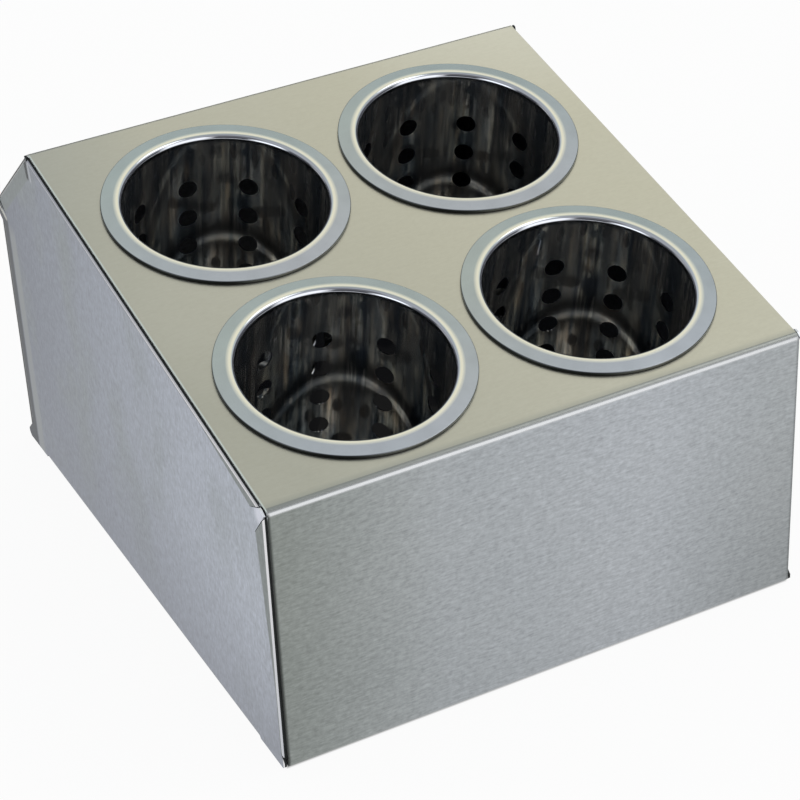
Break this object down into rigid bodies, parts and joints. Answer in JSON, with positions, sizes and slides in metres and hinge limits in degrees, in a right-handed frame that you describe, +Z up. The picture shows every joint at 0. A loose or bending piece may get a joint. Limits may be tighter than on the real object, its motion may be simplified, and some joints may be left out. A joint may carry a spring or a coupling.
{
  "type": "cutlery cylinder rack",
  "caption": "Stainless counter rack with a sloping top and round holes, in which perforated cutlery cylinders hang by their rims and lift out.",
  "frame": {"origin": "on the standing surface, under the middle of the housing's outline", "axes": "+Z up, the low front faces -Y, +X to the right of someone standing in front"},
  "size_m": [0.2612, 0.305, 0.1852],
  "materials": {
    "housing_steel": "satin, fine brushed",
    "cup_steel": "bright polished"
  },
  "bodies": {
    "housing": {"wrap_panel": "housing_steel", "left_side_panel": "housing_steel", "right_side_panel": "housing_steel"},
    "front_left_cup": {"front_left_cup": "cup_steel"},
    "front_right_cup": {"front_right_cup": "cup_steel"},
    "rear_left_cup": {"rear_left_cup": "cup_steel"},
    "rear_right_cup": {"rear_right_cup": "cup_steel"}
  },
  "joints": [
    {"name": "front_left_cup_lift", "type": "slide", "parent": "housing", "child": "front_left_cup", "axis": [0, -0.1968, 0.9804], "range_m": [0, 0.15]},
    {"name": "front_right_cup_lift", "type": "slide", "parent": "housing", "child": "front_right_cup", "axis": [0, -0.1968, 0.9804], "range_m": [0, 0.15]},
    {"name": "rear_left_cup_lift", "type": "slide", "parent": "housing", "child": "rear_left_cup", "axis": [0, -0.1968, 0.9804], "range_m": [0, 0.15]},
    {"name": "rear_right_cup_lift", "type": "slide", "parent": "housing", "child": "rear_right_cup", "axis": [0, -0.1968, 0.9804], "range_m": [0, 0.15]}
  ]
}
